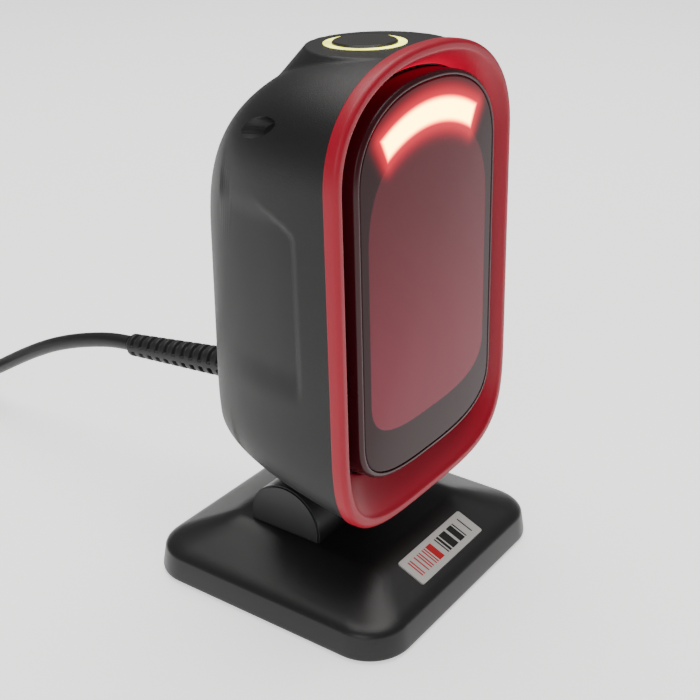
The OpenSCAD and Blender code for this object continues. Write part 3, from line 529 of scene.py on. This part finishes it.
def pane_material():
    """Masks in the pane's own x and z, in millimetres: a superellipse for the clear zone, and a
    band of radius 42.3 to 49 within 28 degrees of upright about the arch's centre for the bar."""
    m = bpy.data.materials.new("smoked pane")
    m.use_nodes = True
    n = m.node_tree.nodes
    link = m.node_tree.links.new
    skin_node = n["Principled BSDF"]

    def calc(op, a, b=0.0, c=0.0):
        """One arithmetic step on numbers or node outputs."""
        node = n.new("ShaderNodeMath")
        node.operation = op
        for i, v in enumerate((a, b, c)):
            if isinstance(v, (int, float)):
                node.inputs[i].default_value = v
            else:
                link(v, node.inputs[i])
        return node.outputs[0]

    def smooth(v, low, high, start=0.0, end=1.0):
        """start below low, end above high, 3t^2 - 2t^3 between."""
        node = n.new("ShaderNodeMapRange")
        node.interpolation_type = "SMOOTHSTEP"
        node.inputs["From Min"].default_value = low
        node.inputs["From Max"].default_value = high
        node.inputs["To Min"].default_value = start
        node.inputs["To Max"].default_value = end
        link(v, node.inputs["Value"])
        return node.outputs["Result"]

    def mix(fac, a, b):
        """A colour from a to b by fac."""
        node = n.new("ShaderNodeMix")
        node.data_type = "RGBA"
        link(fac, node.inputs[0])
        for i, v in ((6, a), (7, b)):
            if isinstance(v, tuple):
                node.inputs[i].default_value = (*v, 1)
            else:
                link(v, node.inputs[i])
        return node.outputs[2]

    place = n.new("ShaderNodeUVMap")
    place.uv_map = "face"
    split = n.new("ShaderNodeSeparateXYZ")
    link(place.outputs["UV"], split.inputs[0])
    x = calc("ABSOLUTE", split.outputs[0])
    z = split.outputs[1]
    rise = calc("ABSOLUTE", calc("SUBTRACT", z, bar_centre_z))
    radius = calc("SQRT", calc("ADD", calc("MULTIPLY", x, x), calc("POWER", rise, 2)))
    angle = calc("ARCTAN2", x, calc("SUBTRACT", z, bar_centre_z))
    across = calc("SUBTRACT", calc("ABSOLUTE", calc("SUBTRACT", radius, bar_middle_r)), bar_half_w)
    past = calc("MULTIPLY", calc("SUBTRACT", angle, bar_half_turn), bar_middle_r)
    bar = calc("MAXIMUM", across, past)
    wide = calc("MAXIMUM", across, 0.0)
    long = calc("MAXIMUM", past, 0.0)
    off = calc("SQRT", calc("ADD", calc("MULTIPLY", wide, wide), calc("MULTIPLY", long, long)))
    # Clear zone: straight sides, a foot of squareness 3 and a top that follows the bar
    foot = calc("MAXIMUM", calc("SUBTRACT", 40.3, z), 0.0)
    out = calc("DIVIDE", x, clear_half_w)
    side = calc("ADD", calc("POWER", out, 3.0), calc("POWER", calc("DIVIDE", foot, 14.0), 3.0))
    sides = calc("MULTIPLY", calc("SUBTRACT", side, 1.0), 9.0)
    head = calc("MAXIMUM", calc("SUBTRACT", z, 79.0), 0.0)
    crown = calc("ADD", calc("POWER", out, 2.4), calc("POWER", calc("DIVIDE", head, 26.0), 2.4))
    arch = calc("MULTIPLY", calc("SUBTRACT", crown, 1.0), 9.0)
    clear = smooth(calc("MAXIMUM", sides, arch), -0.25, 0.25, 1.0, 0.0)
    grain = n.new("ShaderNodeGroup")
    grain.node_tree = moulded
    grain.inputs["Grain"].default_value = 0.01
    grain.inputs["Clouds per metre"].default_value = 18
    shade = mix(smooth(z, 30, 100), (0.15, 0.02, 0.035), (0.045, 0.009, 0.014))
    shade = mix(calc("MULTIPLY", grain.outputs["Cloud mask"], 0.25), shade, (0.2, 0.025, 0.04))
    base = mix(clear, (0.012, 0.003, 0.005), shade)
    link(base, skin_node.inputs["Base Color"])
    link(grain.outputs["Normal"], skin_node.inputs["Normal"])
    skin_node.inputs["Roughness"].default_value = 0.1
    skin_node.inputs["Specular IOR Level"].default_value = 0.1
    glow = calc("POWER", smooth(off, 0.0, 9.0, 1.0, 0.0), 4.0)
    core = smooth(bar, -1.6, 0.4, 1.0, 0.0)
    lit = mix(core, (1.0, 0.0, 0.03), (1.0, 0.62, 0.1))
    link(lit, skin_node.inputs["Emission Color"])
    inside = smooth(bar, -1.5, 0.5, 1.0, 0.0)
    power = calc("ADD", calc("MULTIPLY", inside, 15.0), calc("MULTIPLY", glow, 1.1))
    # Painted light: a faint red emission over the whole pane, stronger in the clear zone, stands for the
    # bar's light inside the head showing through the smoked window.
    power = calc("ADD", power, calc("ADD", calc("MULTIPLY", clear, 0.03), 0.012))
    link(power, skin_node.inputs["Emission Strength"])
    return m


lens.data.materials.append(pane_material())
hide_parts("window_lens")
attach(lens, "head")
dress("lens_mask", finish("printed ink", (0.01, 0.006, 0.006), 0.4))
dress("light_bar", finish("bar diffuser", (0.8, 0.2, 0.15), 0.45))
board_green = finish("solder mask", (0.012, 0.11, 0.045), 0.4, grain=0.2, grain_scale=900)
dress("light_board", board_green)
dress("light_lamps", finish("red lamps", (0.9, 0.5, 0.4), 0.3))
inner_black = finish("inner moulding", (0.02, 0.02, 0.022), 0.5, grain=0.2)
dress("imager_bracket", inner_black)
dress("camera_module", inner_black, 0.0004)
dress("camera_lens", finish("coated optic", (0.015, 0.015, 0.05), 0.08), 0.0003)
dress("lamp_board", board_green)
dress("white_lamps", finish("white lamps", (0.85, 0.83, 0.6), 0.3), 0.0003)
dress("main_board", board_green)
plated = finish("zinc plate", (0.5, 0.5, 0.52), 0.32, grain=0.1, grain_scale=1500, metal=1.0)
for node in ("board_screws", "switch_screws", "arm_screws", "base_screws", "block_screws", "housing_screws"):
    dress(node, plated, 0.00008)
dress("lead_socket", finish("nylon socket", (0.75, 0.73, 0.66), 0.5), 0.0003)
dress("beeper", inner_black, 0.0003)

# ---- Trigger button --------------------------------------------------------------------
# Dark satin cap in a frosted ring that glows pale yellow-green, brighter in two arcs where its
# lamps sit.
button_skin = finish("button satin", (0.018, 0.017, 0.016), 0.36, grain=0.15, grain_scale=5000)
dress("trigger_button", button_skin, 0.0003)
ring_skin = finish("ring diffuser", (0.5, 0.52, 0.12), 0.4, grain=0.1)
ring_nodes = ring_skin.node_tree.nodes
ring_link = ring_skin.node_tree.links.new
where = ring_nodes.new("ShaderNodeTexCoord")
shine = ring_nodes.new("ShaderNodeTexNoise")
shine.inputs["Scale"].default_value = 60
level = ring_nodes.new("ShaderNodeMapRange")
level.inputs["From Min"].default_value = 0.38
level.inputs["From Max"].default_value = 0.62
level.inputs["To Min"].default_value = 2.0
level.inputs["To Max"].default_value = 6.0
ring_link(where.outputs["Object"], shine.inputs["Vector"])
ring_link(shine.outputs["Fac"], level.inputs["Value"])
ring_link(level.outputs["Result"], ring_nodes["Principled BSDF"].inputs["Emission Strength"])
ring_nodes["Principled BSDF"].inputs["Emission Color"].default_value = (0.95, 0.95, 0.12, 1)
dress("status_ring", ring_skin, 0.0001)
dress("button_guide", inner_black, 0.0002)
dress("switch_board", board_green)
dress("trigger_switch", inner_black, 0.0002)
dress("button_spring", finish("spring wire", (0.6, 0.6, 0.62), 0.3, grain=0.1, metal=1.0))

# ---- Boot ------------------------------------------------------------------------------
# Soft ribbed PVC sleeve, moulded on the lead. It tapers to the tip, and short slots above and
# below leave a spine down each side so that it bends gently.
boot_l = 60.0
droop = math.radians(4.9)
boot_y = np.concatenate([np.linspace(-8.5, 0, 8), np.linspace(0.2, boot_l, 300)])
boot_a = np.linspace(0, 2 * np.pi, 96, endpoint=False)
yy, aa = np.meshgrid(boot_y, boot_a, indexing="ij")
body = 5.2 - 1.5 * np.maximum(yy, 0) / boot_l
groove_at = (boot_l - 3.6 - yy) / 3.8
groove = step_up(np.abs(groove_at - np.round(groove_at)) * 3.8, 0.45, 0.95)
spine = step_up(np.abs(np.sin(aa)) * body, 0.8, 1.2)
slotted = (1 - groove) * spine * step_up(yy, 5.5, 6) * (1 - step_up(yy, boot_l - 2.6, boot_l - 2.2))
body = body - 1.25 * slotted
body = body - 0.9 * step_up(yy, boot_l - 1.4, boot_l)
boot_rows = np.stack([body * np.cos(aa), 56.4 + yy * math.cos(droop) + body * np.sin(aa) * math.sin(droop),
                      23.2 - yy * math.sin(droop) + body * np.sin(aa) * math.cos(droop)], axis=-1)
boot = solid("boot", head_to_world(boot_rows), sharp=70)
boot.data.materials.append(finish("boot rubber", (0.013, 0.013, 0.014), 0.46, grain=0.12, grain_scale=3000))
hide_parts("lead_boot")
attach(boot, "head")

# ---- Foot ------------------------------------------------------------------------------
# Satin black moulded cover: upright sides with a little draft, a hipped roof and a level top.
# A steel plate inside weighs it down, and four rubber discs stand it on the counter.
def plan(w, d, r, count=360):
    """x, y points round a rectangle w by d with corner radius r, evenly spaced."""
    a = np.linspace(0, np.pi / 2, 40)
    xs, ys = [], []
    for q, (sx, sy) in enumerate(((1, 1), (-1, 1), (-1, -1), (1, -1))):
        xs.append(sx * (w / 2 - r) + r * np.cos(a + q * np.pi / 2))
        ys.append(sy * (d / 2 - r) + r * np.sin(a + q * np.pi / 2))
    x = np.append(np.concatenate(xs), xs[0][0])
    y = np.append(np.concatenate(ys), ys[0][0])
    far = np.concatenate([[0], np.cumsum(np.hypot(np.diff(x), np.diff(y)))])
    at = np.linspace(0, far[-1], count, endpoint=False)
    return np.interp(at, far, x), np.interp(at, far, y)


def foot_rings(profile):
    """profile gives (share from the rim to the level top, extra inset, height)."""
    rings = []
    for k, e, z in profile:
        w = 87.1 + (50 - 87.1) * k - 2 * e
        d = 83.1 + (49 - 83.1) * k - 2 * e
        r = max(12.05 + (4 - 12.05) * k - e, 0.5)
        x, y = plan(w, d, r)
        rings.append(np.stack([x, y, np.full(len(x), z)], axis=-1))
    return np.array(rings) * 0.001


foot_profile = [
    (0.9, 2.0, 13.0), (0.0, 2.4, 7.6), (0.0, 1.0, 0.5), (0.0, -1.45, 0.5), (0.0, 0.0, 8.9), (1.0, 0.0, 16.0),
    (1.0, 10.0, 16.0),
]
foot = solid("foot_cover", foot_rings(rounded(foot_profile, 1.5, 7)), sharp=50)
foot_skin = finish("foot plastic", (0.0145, 0.014, 0.0145), 0.36, grain=0.12, grain_scale=3500)
foot.data.materials.append(foot_skin)
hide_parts("base_cover")
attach(foot, "foot")
dress("base_plate", inner_black)
dress("ballast_plate", plated, 0.0003)
dress("rubber_feet", finish("foot rubber", (0.02, 0.02, 0.02), 0.8, grain=0.3))

# ---- Hinge -----------------------------------------------------------------------------
# Half-round block with a cap on each end; the tilt arm turns between two friction washers on a
# steel axle.
hinge_black = finish("hinge plastic", (0.017, 0.017, 0.018), 0.42, grain=0.2)
dress("pivot_block", hinge_black, 0.0004)
dress("knuckle_caps", finish("cap plastic", (0.022, 0.022, 0.024), 0.34, grain=0.12), 0.0003)
dress("tilt_arm", hinge_black, 0.0005)
dress("axle_bolt", plated, 0.0002)
dress("axle_nut", finish("brass nut", (0.7, 0.5, 0.22), 0.3, metal=1.0), 0.0001)
dress("friction_washers", finish("nylon washer", (0.75, 0.74, 0.68), 0.5))

# ---- Sign plate ------------------------------------------------------------------------
# Silvered film label with a plain row of bars, some red and some black, in place of a maker's
# mark.
label_skin = finish("label film", (0.5, 0.49, 0.47), 0.34, grain=0.05, metal=0.35)
label_nodes = label_skin.node_tree.nodes
label_link = label_skin.node_tree.links.new
spot = label_nodes.new("ShaderNodeTexCoord")
axes = label_nodes.new("ShaderNodeSeparateXYZ")
label_link(spot.outputs["Object"], axes.inputs[0])


def label_calc(op, a, b=0.0):
    """One arithmetic step on numbers or node outputs, in the label's material."""
    node = label_nodes.new("ShaderNodeMath")
    node.operation = op
    for i, v in enumerate((a, b)):
        if isinstance(v, (int, float)):
            node.inputs[i].default_value = v
        else:
            label_link(v, node.inputs[i])
    return node.outputs[0]


label_low, label_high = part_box("label_plate")
centre_y = (label_low[1] + label_high[1]) / 2
pitch = label_calc("MULTIPLY", axes.outputs[0], 1900.0)
noise = label_nodes.new("ShaderNodeTexWhiteNoise")
noise.noise_dimensions = "1D"
label_link(label_calc("FLOOR", pitch), noise.inputs["W"])
bars = label_calc("GREATER_THAN", noise.outputs["Value"], 0.42)
in_x = label_calc("LESS_THAN", label_calc("ABSOLUTE", axes.outputs[0]), 0.0142)
off_centre = label_calc("ABSOLUTE", label_calc("SUBTRACT", axes.outputs[1], centre_y))
in_y = label_calc("LESS_THAN", off_centre, 0.0026)
ink = label_calc("MULTIPLY", label_calc("MULTIPLY", bars, in_x), in_y)
hue = label_nodes.new("ShaderNodeMix")
hue.data_type = "RGBA"
hue.inputs[6].default_value = (0.45, 0.01, 0.015, 1)
hue.inputs[7].default_value = (0.012, 0.012, 0.012, 1)
label_link(label_calc("GREATER_THAN", axes.outputs[0], 0.0), hue.inputs[0])
print_mix = label_nodes.new("ShaderNodeMix")
print_mix.data_type = "RGBA"
label_base = label_nodes["Principled BSDF"].inputs["Base Color"]
label_link(label_base.links[0].from_socket, print_mix.inputs[6])
label_link(hue.outputs[2], print_mix.inputs[7])
label_link(ink, print_mix.inputs[0])
label_link(print_mix.outputs[2], label_base)
dress("label_plate", label_skin, 0.0001)

# ---- Counter ---------------------------------------------------------------------------
# Plain pale top, not part of the scanner
bpy.ops.mesh.primitive_plane_add(size=6, location=(0, 0, -0.0001))
counter = bpy.context.object
counter.name = "counter"
laminate = finish("counter laminate", (0.86, 0.86, 0.86), 0.6, grain=0.02, grain_scale=400, spread=0.01)
counter.data.materials.append(laminate)
counter_skin = counter.data.materials[0].node_tree.nodes["Principled BSDF"]
counter_skin.inputs["Emission Color"].default_value = (1, 1, 1, 1)
counter_skin.inputs["Emission Strength"].default_value = 0.95
